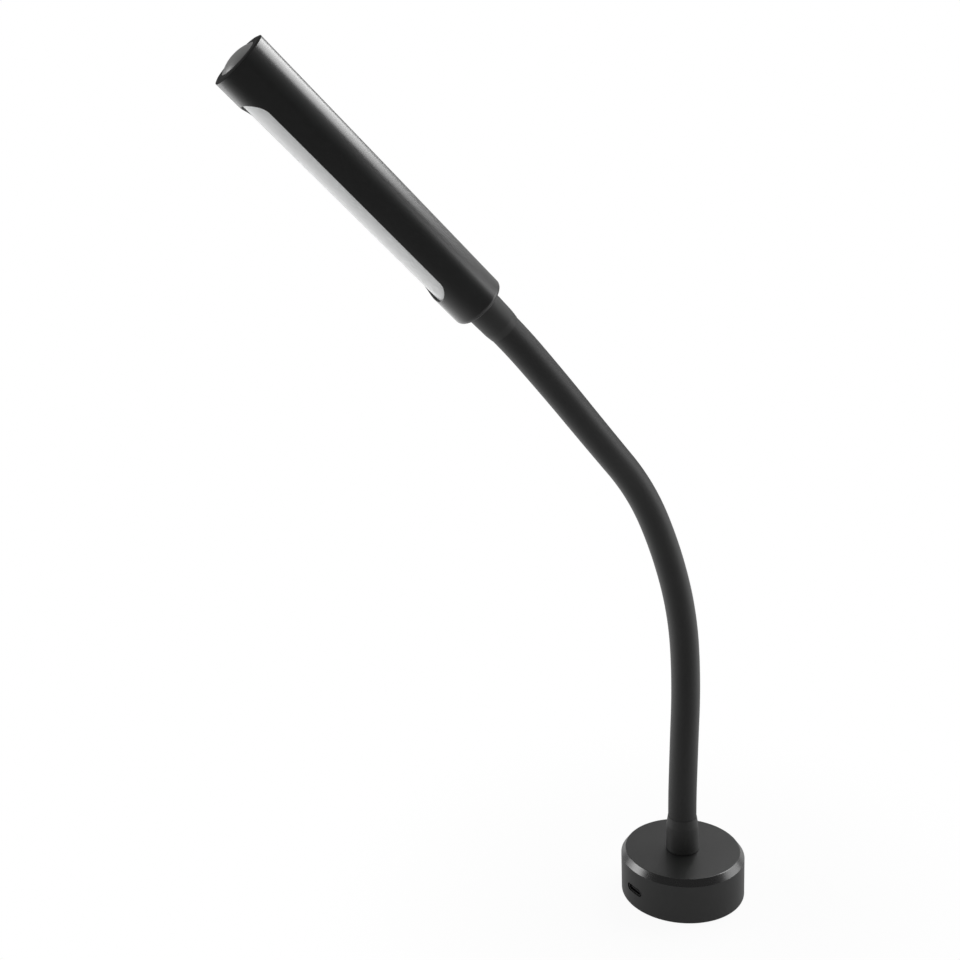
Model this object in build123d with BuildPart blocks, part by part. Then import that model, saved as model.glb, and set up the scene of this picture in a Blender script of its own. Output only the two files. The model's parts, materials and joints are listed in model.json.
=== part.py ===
"""Gooseneck desk lamp: a round weighted base, a bendable neck and a tubular light head.

Millimetres, +Z up. The origin is the middle of the foot pad's underside. The neck bends in the
XZ plane at rest, the head reaches towards -X, and the power inlet is on the base's -X side.
"""
from build123d import *
from math import cos, radians, sin
import os

os.makedirs("parts", exist_ok=True)

# ---- clearances -----------------------------------------------------------------------
slip_gap = 0.1          # between pieces that slide into each other by hand
thread_gap = 0.02       # radial play of a screw in its thread
through_gap = 0.2       # radial play of a screw or stud in a plain hole
running_gap = 0.05      # radial play of the button and its plunger in their holes
socket_gap = 0.3        # between the rounded ends of two neighbouring neck sections
lead_gap = 0.15         # the same for the lead inside them
contact_gap = 0.01      # between pieces that sit against each other around a curve
tip_gap = 1.0           # bottom of a screw's hole past its tip
cut_past = 1.0          # how far a cut runs on past the faces that it opens

# ---- base -----------------------------------------------------------------------------
base_diameter = 60.0
base_height = 22.9      # from the table to the flat top
rim_lift = 0.8          # the housing's lower rim stands this far above the table
housing_wall = 2.0
housing_top = 3.0
chamfer_width = 2.2
chamfer_height = 3.0
housing_edge_round = 0.35
pad_thickness = 1.3
pad_inset = 1.0         # ring of bare plate left around the pad
plate_thickness = 1.5
ballast_web = 3.0       # iron left between the housing's top and the nut
well_radius = 11.0      # room for the nut, from below
plate_screw_circle = 20.0
plate_screw_count = 3
plate_screw_radius = 1.5
plate_screw_head = 2.8
plate_screw_length = 8.0    # from the plate's underside
plate_screw_recess = 0.75   # radius of the driver's hole in its head

# ---- power inlet and its board --------------------------------------------------------
inlet_height = 10.0     # middle of the inlet above the table
inlet_slot_width = 10.6
inlet_slot_height = 3.8
socket_width = 8.94
socket_height = 3.26
socket_wall = 0.3
socket_length = 7.3
socket_recess = 0.7     # the socket's mouth behind the housing's outer face
tongue_width = 6.7
tongue_thickness = 0.7
tongue_length = 4.6
tongue_setback = 0.5    # tip of the tongue behind the socket's mouth
board_thickness = 1.6
board_length = 17.0
board_width = 18.0
board_pocket_margin = 2.0
board_pocket_height = 4.0   # clear height above the board's top face
board_screw_radius = 1.0
board_screw_head = 1.9
board_screw_head_height = 1.4
board_screw_spacing = 12.0
board_screw_inset = 3.0
board_post_radius = 2.4
board_screw_grip = 4.0  # depth of its hole in the post
choke_side = 4.0
choke_corner = 0.8
choke_from_socket = 2.6     # middle of the choke behind the socket
capacitor_radius = 1.8
capacitor_spacing = 14.0    # between the two capacitors, across the board
capacitor_lead = 4.0        # how far they stand nearer to the inlet than the choke
component_height = 2.6
plug_length = 4.0
plug_width = 6.0
plug_height = 3.2
plug_margin = 0.5       # between a plug and the edge of its board
lead_drop = 0.5         # air between the board and the lead below it

# ---- neck -----------------------------------------------------------------------------
neck_diameter = 13.7    # over the rubber sleeve
sleeve_wall = 0.8
coil_wall = 1.6
lead_diameter = 3.0
section_length = 34.4   # between two bending points
hinge_headings = [-2.2, -2.8, 3.5, 15.7, 24.6, 41.2, 40.5, 42.0]   # degrees from upright
neck_ball = 7.3         # radius of the rounded end of a sleeve or coil section
lead_ball = 1.6         # the same for the lead

# ---- ferrules, studs and nuts ---------------------------------------------------------
lower_ferrule_diameters = (15.9, 15.5)  # at its seat, and where its mouth's taper starts
upper_ferrule_diameters = (15.2, 14.7)
lower_ferrule_taper = 4.5   # length of the soft taper at its mouth
upper_ferrule_taper = 3.2
ferrule_round = 0.5     # of its edge at the seat
ferrule_lip = 0.15      # wall left at the mouth
ferrule_pocket = 12.0   # how deep the neck goes in
lower_ferrule_height = 17.5
upper_ferrule_height = 15.0
wire_bore = 2.2
lower_stud_radius = 5.0
upper_stud_radius = 4.0
stud_past_nut = 1.0
washer_thickness = 1.0
washer_width = 3.6      # beyond its stud
washer_cut = 0.8
lower_nut_thickness = 5.0
upper_nut_thickness = 4.0
lower_nut_flats = 16.0
upper_nut_flats = 13.0

# ---- head -----------------------------------------------------------------------------
head_heading = 45.6     # degrees from upright
head_diameter = 22.8
head_length = 127.35    # of the tube, without the ring and the button
head_wall = 1.0
head_root_wall = 1.6
head_root_round = 2.0
head_edge_round = 0.2   # of the slot's rim
slot_width = 15.2
slot_from_root = 14.3
slot_from_tip = 10.45
lens_thickness = 1.2
lens_edge = 5.2         # height of the lens's long edges above the head's axis
lens_overlap = 3.0      # lens beyond the slot, towards the root
lens_tip_overlap = 1.5
carrier_floor = -2.0    # height of the floor that the light board lies on
carrier_cavity = 16.4   # width of the trough that the light shines out of
carrier_back_width = 11.0   # open channel along its back, for the wires
carrier_back_depth = 5.5
carrier_gap = 1.5       # between the stud's end and the carrier
light_board_width = 14.0
light_board_thickness = 1.0
light_board_margin = 0.5    # carrier left bare at each end of the board
led_rows = 2
led_count = 16          # in each row
led_row_spacing = 6.0
led_length = 3.5
led_width = 2.8
led_height = 0.7

# ---- switch at the tip ----------------------------------------------------------------
ring_flange = 0.55      # part of the ring that covers the tube's end
ring_slope_height = 0.4    # sloped edge of that flange
ring_slope_width = 1.0
ring_face = 1.8         # thickness of the ring's front wall
ring_depth = 7.0        # from its face to the end of its skirt
ring_skirt_wall = 1.2
button_diameter = 15.4
button_dome = 2.4       # rise of its middle above the tube's end
button_edge = 0.6       # rise of its edge
button_flange = 0.8     # lip that keeps it in the ring
button_flange_height = 1.0
button_travel = 1.0
switch_board_thickness = 1.0
switch_size = 6.0
switch_height = 3.0
plunger_radius = 1.5
plunger_depth = 1.1     # how far it reaches into the switch at rest


# ---- where things are -----------------------------------------------------------------
def heading_direction(heading):
    """Unit vector in the XZ plane that leans towards -X by this many degrees from upright."""
    return Vector(-sin(radians(heading)), 0, cos(radians(heading)))


class Station:
    """A point of the neck's middle line, and the way the line runs there."""

    def __init__(self, point, heading):
        self.point = point
        self.heading = heading
        self.direction = heading_direction(heading)
        self.plane = Plane(origin=point, x_dir=(0, 1, 0), z_dir=self.direction)


def next_station(start, length, heading):
    """The end of an arc that leaves start along its heading and turns evenly to a new one."""
    turn = radians(heading - start.heading)
    if abs(turn) < 1e-9:
        return Station(start.point + start.direction * length, heading)
    radius = length / turn
    first, last = radians(start.heading), radians(heading)
    step = Vector(-radius * (cos(first) - cos(last)), 0, radius * (sin(last) - sin(first)))
    return Station(start.point + step, heading)


base_radius = base_diameter / 2
cavity_radius = base_radius - housing_wall
plate_bottom = pad_thickness
plate_top = plate_bottom + plate_thickness
cavity_top = base_height - housing_top
ballast_top = cavity_top - contact_gap
well_top = ballast_top - ballast_web
lower_nut_top = well_top - washer_thickness - contact_gap
lower_stud_end = lower_nut_top - lower_nut_thickness - stud_past_nut

neck_radius = neck_diameter / 2
coil_radius = neck_radius - sleeve_wall - contact_gap
coil_bore = coil_radius - coil_wall
lead_radius = lead_diameter / 2

lower_floor = Station(Vector(0, 0, base_height + lower_ferrule_height - ferrule_pocket), 0)
lower_mouth = Station(Vector(0, 0, base_height + lower_ferrule_height), 0)
hinges = []
for number, heading in enumerate(hinge_headings):
    before = hinges[-1] if hinges else lower_mouth
    run = section_length if hinges else section_length / 2
    hinges.append(next_station(before, run, heading))
upper_mouth = next_station(hinges[-1], section_length / 2, head_heading)
upper_floor = next_station(upper_mouth, ferrule_pocket, head_heading)
head_root = next_station(upper_mouth, upper_ferrule_height, head_heading)

head_radius = head_diameter / 2
tube_bore = head_radius - head_wall
inner_radius = tube_bore - slip_gap
light_direction = Vector(-cos(radians(head_heading)), 0, -sin(radians(head_heading)))
# Local X of the head's plane points out of the light slot, and local Z along the head.
head_plane = Plane(origin=head_root.point, x_dir=light_direction, z_dir=head_root.direction)
head_axis = Axis(head_plane.origin, head_plane.z_dir)
slot_end = head_length - slot_from_tip
lens_start = slot_from_root - lens_overlap
lens_end = slot_end + lens_tip_overlap
upper_nut_start = head_root_wall + washer_thickness + contact_gap
upper_stud_end = upper_nut_start + upper_nut_thickness + stud_past_nut
carrier_start = upper_stud_end + carrier_gap
light_board_top = carrier_floor + contact_gap + light_board_thickness


def along_head(distance):
    """The plane across the head at this distance from its root."""
    return head_plane.offset(distance)


def above_axis(distance, height):
    """A plane parallel to the light board, at this distance along the head and this height."""
    point = head_root.point + head_root.direction * distance + light_direction * height
    return Plane(origin=point, x_dir=head_root.direction, z_dir=light_direction)


def on_outside(edge):
    """True for an edge that lies on the head's outer surface."""
    from_root = edge.position_at(0.5) - head_root.point
    from_axis = from_root - head_root.direction * from_root.dot(head_root.direction)
    return from_axis.length > head_radius - head_wall / 4


def save(builder, name):
    builder.part.label = name
    export_step(builder.part, f"parts/{name}.step")


# ---- base -----------------------------------------------------------------------------
with BuildPart() as base_housing:
    with BuildSketch(Plane.XY.offset(rim_lift)):
        Circle(base_radius)
    extrude(amount=base_height - rim_lift)
    top_edge = base_housing.edges().group_by(Axis.Z)[-1]
    top_face = base_housing.faces().sort_by(Axis.Z)[-1]
    chamfer(top_edge, length=chamfer_width, length2=chamfer_height, reference=top_face)
    fillet(base_housing.edges().filter_by(GeomType.CIRCLE), housing_edge_round)
    with BuildSketch(Plane.XY.offset(rim_lift)):
        Circle(cavity_radius)
    extrude(amount=cavity_top - rim_lift, mode=Mode.SUBTRACT)
    with BuildSketch(Plane.XY.offset(cavity_top)):
        Circle(lower_stud_radius + through_gap)
    extrude(amount=housing_top, mode=Mode.SUBTRACT)
    with BuildSketch(Plane.YZ.offset(-base_radius - cut_past)):
        with Locations((0, inlet_height)):
            SlotOverall(inlet_slot_width, inlet_slot_height)
    extrude(amount=base_radius, mode=Mode.SUBTRACT)
save(base_housing, "base_housing")

socket_mouth = -base_radius + socket_recess
socket_back = socket_mouth + socket_length
board_top = inlet_height - socket_height / 2 - contact_gap
board_bottom = board_top - board_thickness
board_front = -cavity_radius + board_pocket_margin
board_back = board_front + board_length
board_screw_x = board_back - board_screw_inset
board_pocket_top = board_top + board_pocket_height
half_spacing = board_screw_spacing / 2
screw_places = [(board_screw_x, -half_spacing), (board_screw_x, half_spacing)]

with BuildPart() as ballast_weight:
    with BuildSketch(Plane.XY.offset(plate_top + slip_gap)):
        Circle(cavity_radius - slip_gap)
    extrude(amount=ballast_top - plate_top - slip_gap)
    with BuildSketch(Plane.XY.offset(plate_top)):
        Circle(well_radius)
    extrude(amount=well_top - plate_top, mode=Mode.SUBTRACT)
    pocket_back = board_back + board_pocket_margin
    with BuildSketch(Plane.XY.offset(plate_top)):
        with Locations(((pocket_back - base_radius) / 2, 0)):
            Rectangle(base_radius + pocket_back, board_width + 2 * board_pocket_margin)
    extrude(amount=board_pocket_top - plate_top, mode=Mode.SUBTRACT)
    with BuildSketch(Plane.XY.offset(board_top + contact_gap)):
        with Locations(*screw_places):
            Circle(board_post_radius)
    extrude(amount=board_pocket_height)
    with BuildSketch(Plane.XY.offset(board_top)):
        with Locations(*screw_places):
            Circle(board_screw_radius)
    extrude(amount=board_screw_grip, mode=Mode.SUBTRACT)
    with BuildSketch(Plane.XY.offset(plate_top)):
        with PolarLocations(plate_screw_circle, plate_screw_count):
            Circle(plate_screw_radius)
    extrude(amount=plate_screw_length - plate_thickness + tip_gap, mode=Mode.SUBTRACT)
    with BuildSketch(Plane.XY.offset(well_top)):
        Circle(lower_stud_radius + through_gap)
    extrude(amount=ballast_web + cut_past, mode=Mode.SUBTRACT)
save(ballast_weight, "ballast_weight")

plate_underside = Plane(origin=(0, 0, plate_bottom), x_dir=(1, 0, 0), z_dir=(0, 0, -1))

with BuildPart() as bottom_plate:
    with BuildSketch(Plane.XY.offset(plate_bottom)):
        Circle(cavity_radius - slip_gap)
    extrude(amount=plate_thickness)
    with Locations(plate_underside):
        with PolarLocations(plate_screw_circle, plate_screw_count):
            CounterSinkHole(
                plate_screw_radius + through_gap,
                plate_screw_head + through_gap,
                depth=plate_thickness + cut_past,
            )
save(bottom_plate, "bottom_plate")

with BuildPart() as foot_pad:
    with BuildSketch():
        Circle(cavity_radius - pad_inset)
    extrude(amount=pad_thickness)
save(foot_pad, "foot_pad")

with BuildPart() as plate_screws:
    cone_height = plate_screw_head - plate_screw_radius
    with PolarLocations(plate_screw_circle, plate_screw_count):
        with Locations((0, 0, plate_bottom + contact_gap)):
            Cone(
                plate_screw_head,
                plate_screw_radius,
                cone_height,
                align=(Align.CENTER, Align.CENTER, Align.MIN),
            )
            Cylinder(
                plate_screw_radius - thread_gap,
                plate_screw_length,
                align=(Align.CENTER, Align.CENTER, Align.MIN),
            )
            Cylinder(
                plate_screw_recess,
                cone_height / 2,
                align=(Align.CENTER, Align.CENTER, Align.MIN),
                mode=Mode.SUBTRACT,
            )
save(plate_screws, "plate_screws")


# ---- power inlet and its board --------------------------------------------------------
inlet_plane = Plane(origin=(socket_mouth, 0, inlet_height), x_dir=(0, 1, 0), z_dir=(1, 0, 0))

with BuildPart() as inlet_shell:
    with BuildSketch(inlet_plane):
        SlotOverall(socket_width, socket_height)
    extrude(amount=socket_length)
    with BuildSketch(inlet_plane):
        SlotOverall(socket_width - 2 * socket_wall, socket_height - 2 * socket_wall)
    extrude(amount=socket_length, mode=Mode.SUBTRACT)
save(inlet_shell, "inlet_shell")

with BuildPart() as inlet_tongue:
    block_length = socket_length - tongue_length - tongue_setback
    with BuildSketch(inlet_plane.offset(socket_length - block_length)):
        SlotOverall(
            socket_width - 2 * socket_wall - 2 * contact_gap,
            socket_height - 2 * socket_wall - 2 * contact_gap,
        )
    extrude(amount=block_length)
    with BuildSketch(inlet_plane.offset(socket_length - block_length - tongue_length)):
        Rectangle(tongue_width, tongue_thickness)
    extrude(amount=tongue_length)
save(inlet_tongue, "inlet_tongue")

with BuildPart() as power_board:
    with BuildSketch(Plane.XY.offset(board_bottom)):
        with Locations(((board_front + board_back) / 2, 0)):
            Rectangle(board_length, board_width)
    extrude(amount=board_thickness)
    with BuildSketch(Plane.XY.offset(board_bottom)):
        with Locations(*screw_places):
            Circle(board_screw_radius + through_gap)
    extrude(amount=board_thickness, mode=Mode.SUBTRACT)
save(power_board, "power_board")

with BuildPart() as board_screws:
    with BuildSketch(Plane.XY.offset(board_bottom - contact_gap)):
        with Locations(*screw_places):
            Circle(board_screw_head)
    extrude(amount=-board_screw_head_height)
    with BuildSketch(Plane.XY.offset(board_bottom - board_screw_head_height)):
        with Locations(*screw_places):
            Circle(board_screw_radius - thread_gap)
    extrude(amount=board_screw_head_height + board_thickness + board_screw_grip - tip_gap)
save(board_screws, "board_screws")

# The choke and the two capacitors stand between the socket and the screw posts.
choke_x = socket_back + choke_from_socket
capacitor_x = choke_x - capacitor_lead
capacitor_y = capacitor_spacing / 2

with BuildPart() as board_components:
    with BuildSketch(Plane.XY.offset(board_top + contact_gap)):
        with Locations((choke_x, 0)):
            RectangleRounded(choke_side, choke_side, choke_corner)
        with Locations((capacitor_x, capacitor_y), (capacitor_x, -capacitor_y)):
            Circle(capacitor_radius)
    extrude(amount=component_height)
save(board_components, "board_components")

lead_bend_height = board_bottom - contact_gap - lead_radius - lead_drop
lead_bend_radius = lower_stud_end - lead_bend_height
connector_front = board_back - plug_margin - plug_length

with BuildPart() as lead_connector:
    with BuildSketch(Plane.XY.offset(board_bottom - contact_gap)):
        with Locations((connector_front + plug_length / 2, 0)):
            Rectangle(plug_length, plug_width)
    extrude(amount=-plug_height)
save(lead_connector, "lead_connector")


# ---- ferrules, nuts and washers -------------------------------------------------------
def make_ferrule(seat, height, diameters, taper, stud_radius, stud_length):
    """A turned collar that stands on seat's plane, with a pocket for the neck and a stud."""
    standing = (Align.CENTER, Align.CENTER, Align.MIN)
    seat_radius, taper_radius = diameters[0] / 2, diameters[1] / 2
    mouth_radius = neck_radius + contact_gap + ferrule_lip
    with BuildPart() as ferrule:
        with Locations(seat):
            Cone(seat_radius, taper_radius, height - taper, align=standing)
        rims = ferrule.edges().filter_by(GeomType.CIRCLE)
        fillet(rims.sort_by(Axis(seat.origin, seat.z_dir))[0], ferrule_round)
        with Locations(seat.offset(height - taper)):
            Cone(taper_radius, mouth_radius, taper, align=standing)
        with BuildSketch(seat.offset(height - ferrule_pocket)):
            Circle(neck_radius + contact_gap)
        extrude(amount=ferrule_pocket, mode=Mode.SUBTRACT)
        with BuildSketch(seat.offset(ferrule_round)):
            Circle(stud_radius)
        extrude(amount=-stud_length - ferrule_round)
        with BuildSketch(seat.offset(-stud_length)):
            Circle(wire_bore)
        extrude(amount=stud_length + height, mode=Mode.SUBTRACT)
    return ferrule


def make_nut(seat, flats, thickness, stud_radius):
    """A hexagon nut that lies on seat's plane."""
    with BuildPart() as nut:
        with BuildSketch(seat):
            RegularPolygon(flats / 2, 6, major_radius=False)
            Circle(stud_radius + thread_gap, mode=Mode.SUBTRACT)
        extrude(amount=thickness)
    return nut


def make_washer(seat, stud_radius):
    """A spring washer, cut through once, that lies on seat's plane."""
    with BuildPart() as washer:
        with BuildSketch(seat):
            Circle(stud_radius + washer_width)
            Circle(stud_radius + through_gap, mode=Mode.SUBTRACT)
            with Locations((stud_radius + washer_width, 0)):
                Rectangle(2 * (washer_width + cut_past), washer_cut, mode=Mode.SUBTRACT)
        extrude(amount=washer_thickness)
    return washer


lower_seat = Plane.XY.offset(base_height + contact_gap)
lower_ferrule = make_ferrule(
    lower_seat,
    lower_ferrule_height - contact_gap,
    lower_ferrule_diameters,
    lower_ferrule_taper,
    lower_stud_radius,
    base_height + contact_gap - lower_stud_end,
)
save(lower_ferrule, "lower_ferrule")
base_washer = make_washer(Plane.XY.offset(well_top - washer_thickness), lower_stud_radius)
save(base_washer, "base_washer")
lower_nut_seat = Plane.XY.offset(lower_nut_top - lower_nut_thickness)
base_nut = make_nut(lower_nut_seat, lower_nut_flats, lower_nut_thickness, lower_stud_radius)
save(base_nut, "base_nut")

# The head's ferrule faces the other way: its seat looks back down the neck.
upper_seat = Plane(
    origin=head_root.point - head_root.direction * contact_gap,
    x_dir=(0, 1, 0),
    z_dir=head_root.direction * -1,
)
upper_ferrule = make_ferrule(
    upper_seat,
    upper_ferrule_height - contact_gap,
    upper_ferrule_diameters,
    upper_ferrule_taper,
    upper_stud_radius,
    upper_stud_end,
)
save(upper_ferrule, "upper_ferrule")
head_washer = make_washer(along_head(head_root_wall + contact_gap), upper_stud_radius)
save(head_washer, "head_washer")
upper_nut_seat = along_head(upper_nut_start + contact_gap)
head_nut = make_nut(upper_nut_seat, upper_nut_flats, upper_nut_thickness, upper_stud_radius)
save(head_nut, "head_nut")


# ---- neck -----------------------------------------------------------------------------
def tube_between(start, end, outer, inner):
    """Adds a straight or evenly bent tube from one station to the next."""
    with BuildSketch(start.plane) as ring:
        Circle(outer)
        if inner:
            Circle(inner, mode=Mode.SUBTRACT)
    turn = end.heading - start.heading
    chord = (end.point - start.point).length
    if abs(turn) < 1e-9:
        extrude(ring.sketch, amount=chord)
    else:
        side = 1 if turn > 0 else -1
        radius = chord / 2 / sin(radians(abs(turn)) / 2)
        inward = Vector(-cos(radians(start.heading)), 0, -sin(radians(start.heading))) * side
        turn_axis = Axis(start.point + inward * radius, (0, -side, 0))
        revolve(ring.sketch, axis=turn_axis, revolution_arc=abs(turn))


def make_section(stations, outer, inner, ball, gap, hollow_end, round_end):
    """One piece of the neck along its stations.

    Its last end is rounded about the last station, and its first end is hollowed about the
    first station, so that neighbours turn about the point between them without touching.
    """
    with BuildPart() as section:
        if round_end:
            last = stations[-1]
            with Locations(last.plane):
                Sphere(ball)
            with BuildSketch(last.plane):
                Circle(outer)
                if inner:
                    Circle(inner, mode=Mode.SUBTRACT)
            extrude(amount=ball + cut_past, mode=Mode.INTERSECT)
        for start, end in zip(stations, stations[1:]):
            tube_between(start, end, outer, inner)
        if hollow_end:
            with Locations(stations[0].plane):
                Sphere(ball + gap, mode=Mode.SUBTRACT)
    return section


lower_line = [lower_floor, lower_mouth, hinges[0]]
upper_line = [hinges[-1], upper_mouth, upper_floor]
neck_lines = [lower_line, *zip(hinges, hinges[1:]), upper_line]
neck_layers = [
    ("neck_sleeve", neck_radius, coil_radius + contact_gap),
    ("neck_coil", coil_radius, coil_bore),
]
for number, line in enumerate(neck_lines):
    first, last = number == 0, number == len(neck_lines) - 1
    for layer, outer, inner in neck_layers:
        section = make_section(line, outer, inner, neck_ball, socket_gap, not first, not last)
        save(section, f"{layer}_{number}")

# The lead runs on past the neck: down to the base's connector and up to the head's.
connector_back = connector_front + plug_length + contact_gap
lead_start = Station(Vector(connector_back, 0, lead_bend_height), -90)
lead_bend = Station(Vector(-lead_bend_radius, 0, lead_bend_height), -90)
lead_foot = Station(Vector(0, 0, lower_stud_end), 0)
lead_end = Station(along_head(carrier_start + contact_gap).origin, head_heading)
first_lead_line = [lead_start, lead_bend, lead_foot, *lower_line]
last_lead_line = [*upper_line, lead_end]
lead_lines = [first_lead_line, *neck_lines[1:-1], last_lead_line]
for number, line in enumerate(lead_lines):
    first, last = number == 0, number == len(lead_lines) - 1
    section = make_section(line, lead_radius, 0, lead_ball, lead_gap, not first, not last)
    save(section, f"lead_{number}")


# ---- head -----------------------------------------------------------------------------
with BuildPart() as head_tube:
    with BuildSketch(head_plane):
        Circle(head_radius)
    extrude(amount=head_length)
    fillet(head_tube.edges().filter_by(GeomType.CIRCLE).sort_by(head_axis)[0], head_root_round)
    with BuildSketch(along_head(head_root_wall)):
        Circle(tube_bore)
    extrude(amount=head_length, mode=Mode.SUBTRACT)
    with BuildSketch(head_plane):
        Circle(upper_stud_radius + through_gap)
    extrude(amount=head_root_wall, mode=Mode.SUBTRACT)
    with BuildSketch(above_axis((slot_from_root + slot_end) / 2, 0)):
        SlotOverall(slot_end - slot_from_root, slot_width)
    extrude(amount=head_radius + cut_past, mode=Mode.SUBTRACT)
    slot_rim = head_tube.edges(Select.LAST).filter_by(on_outside)
    fillet(slot_rim, head_edge_round)
save(head_tube, "head_tube")

with BuildPart() as diffuser:
    with BuildSketch(along_head(lens_start)):
        Circle(inner_radius)
        Circle(inner_radius - lens_thickness, mode=Mode.SUBTRACT)
    extrude(amount=lens_end - lens_start)
    split(bisect_by=above_axis(0, lens_edge), keep=Keep.TOP)
save(diffuser, "diffuser")

carrier_length = lens_end - carrier_start
carrier_middle = carrier_start + carrier_length / 2
with BuildPart() as light_carrier:
    with BuildSketch(along_head(carrier_start)):
        Circle(inner_radius)
    extrude(amount=carrier_length)
    split(bisect_by=above_axis(0, lens_edge - slip_gap), keep=Keep.BOTTOM)
    with BuildSketch(above_axis(carrier_middle, carrier_floor)):
        Rectangle(carrier_length + 2 * cut_past, carrier_cavity)
    extrude(amount=head_radius, mode=Mode.SUBTRACT)
    with BuildSketch(above_axis(carrier_middle, -inner_radius)):
        Rectangle(carrier_length + 2 * cut_past, carrier_back_width)
    extrude(amount=carrier_back_depth, mode=Mode.SUBTRACT)
save(light_carrier, "light_carrier")

with BuildPart() as light_board:
    with BuildSketch(above_axis(carrier_middle, carrier_floor + contact_gap)):
        Rectangle(carrier_length - 2 * light_board_margin, light_board_width)
    extrude(amount=light_board_thickness)
save(light_board, "light_board")

led_span = slot_end - slot_from_root - 2 * led_length
led_pitch = led_span / (led_count - 1)
with BuildPart() as leds:
    with BuildSketch(above_axis((slot_from_root + slot_end) / 2, light_board_top + contact_gap)):
        with GridLocations(led_pitch, led_row_spacing, led_count, led_rows):
            Rectangle(led_length, led_width)
    extrude(amount=led_height)
save(leds, "leds")

with BuildPart() as head_connector:
    plug_middle = carrier_start + light_board_margin + 2 * contact_gap + plug_length / 2
    with BuildSketch(above_axis(plug_middle, light_board_top + contact_gap)):
        Rectangle(plug_length, plug_width)
    extrude(amount=plug_height)
save(head_connector, "head_connector")


# ---- switch at the tip ----------------------------------------------------------------
ring_bore = button_diameter / 2 + running_gap
flange_radius = button_diameter / 2 + button_flange
ring_front = head_length + ring_flange
ring_inner_face = ring_front - ring_face

with BuildPart() as tip_ring:
    with BuildSketch(along_head(head_length)):
        Circle(head_radius)
    extrude(amount=ring_flange)
    ring_edge = tip_ring.edges().filter_by(GeomType.CIRCLE).sort_by(head_axis)[-1]
    ring_top = tip_ring.faces().filter_by(GeomType.PLANE).sort_by(head_axis)[-1]
    chamfer(ring_edge, ring_slope_width, ring_slope_height, reference=ring_top)
    with BuildSketch(along_head(head_length)):
        Circle(inner_radius)
    extrude(amount=ring_flange - ring_depth)
    with BuildSketch(along_head(ring_inner_face)):
        Circle(inner_radius - ring_skirt_wall)
    extrude(amount=-ring_depth, mode=Mode.SUBTRACT)
    with BuildSketch(along_head(ring_inner_face)):
        Circle(ring_bore)
    extrude(amount=ring_face, mode=Mode.SUBTRACT)
save(tip_ring, "tip_ring")

switch_board_start = lens_end + contact_gap
switch_start = switch_board_start + switch_board_thickness + contact_gap
switch_end = switch_start + switch_height
flange_top = ring_inner_face - slip_gap
button_bottom = flange_top - button_flange_height

with BuildPart() as switch_board:
    with BuildSketch(along_head(switch_board_start)):
        Circle(inner_radius)
    extrude(amount=switch_board_thickness)
save(switch_board, "switch_board")

with BuildPart() as switch_body:
    with BuildSketch(along_head(switch_start)):
        Rectangle(switch_size, switch_size)
    extrude(amount=switch_height)
    with BuildSketch(along_head(switch_end)):
        Circle(plunger_radius + running_gap)
    extrude(amount=-plunger_depth - button_travel - slip_gap, mode=Mode.SUBTRACT)
save(switch_body, "switch_body")

with BuildPart() as switch_plunger:
    with BuildSketch(along_head(switch_end - plunger_depth)):
        Circle(plunger_radius)
    extrude(amount=button_bottom - contact_gap - switch_end + plunger_depth)
save(switch_plunger, "switch_plunger")

# The button's top is a shallow cap of a sphere over a plain cylinder.
button_radius = button_diameter / 2
dome_rise = button_dome - button_edge
dome_radius = (button_radius**2 + dome_rise**2) / (2 * dome_rise)
with BuildPart() as push_button:
    with BuildSketch(along_head(button_bottom)):
        Circle(button_radius)
    extrude(amount=head_length + button_dome - button_bottom)
    with Locations(along_head(head_length + button_dome - dome_radius)):
        Sphere(dome_radius, mode=Mode.INTERSECT)
    with BuildSketch(along_head(button_bottom)):
        Circle(flange_radius)
    extrude(amount=button_flange_height)
save(push_button, "push_button")
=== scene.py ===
# %% [markdown]
# # A gooseneck desk lamp
#
# The lamp has a round weighted base, a neck that bends anywhere along its length, and a tubular
# head with a long light slot. The construction is finished: it comes in as a fixed frame of named
# pieces, each riding on the body that moves it. This notebook gives every piece its finish, and
# builds in mesh code what a rigid solid can't show: the parts of the neck, which have to bend.

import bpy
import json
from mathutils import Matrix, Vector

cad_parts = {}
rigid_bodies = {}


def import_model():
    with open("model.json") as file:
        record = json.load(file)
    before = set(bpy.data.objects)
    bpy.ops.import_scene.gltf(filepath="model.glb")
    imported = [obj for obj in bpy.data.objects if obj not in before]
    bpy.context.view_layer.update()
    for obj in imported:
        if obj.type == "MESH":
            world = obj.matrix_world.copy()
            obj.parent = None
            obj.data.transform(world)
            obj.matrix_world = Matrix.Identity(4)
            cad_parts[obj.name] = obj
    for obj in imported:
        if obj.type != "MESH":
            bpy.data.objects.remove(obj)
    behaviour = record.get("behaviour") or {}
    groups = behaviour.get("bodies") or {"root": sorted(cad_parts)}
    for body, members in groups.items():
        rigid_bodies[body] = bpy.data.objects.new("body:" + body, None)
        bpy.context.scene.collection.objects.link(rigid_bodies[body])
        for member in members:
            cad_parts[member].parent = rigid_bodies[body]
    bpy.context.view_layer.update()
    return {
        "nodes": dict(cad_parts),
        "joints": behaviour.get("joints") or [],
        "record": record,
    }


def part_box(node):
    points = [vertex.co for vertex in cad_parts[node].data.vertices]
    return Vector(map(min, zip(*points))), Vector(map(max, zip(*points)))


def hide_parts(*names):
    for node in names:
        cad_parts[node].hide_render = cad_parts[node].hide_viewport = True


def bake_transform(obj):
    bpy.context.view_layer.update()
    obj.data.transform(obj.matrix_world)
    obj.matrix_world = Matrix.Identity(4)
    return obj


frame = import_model()

# %% [markdown]
# Blender counts in metres, and a lamp like this is measured in millimetres, so small sizes below are
# written as a number times MM.

# %% Units
import math

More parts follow.
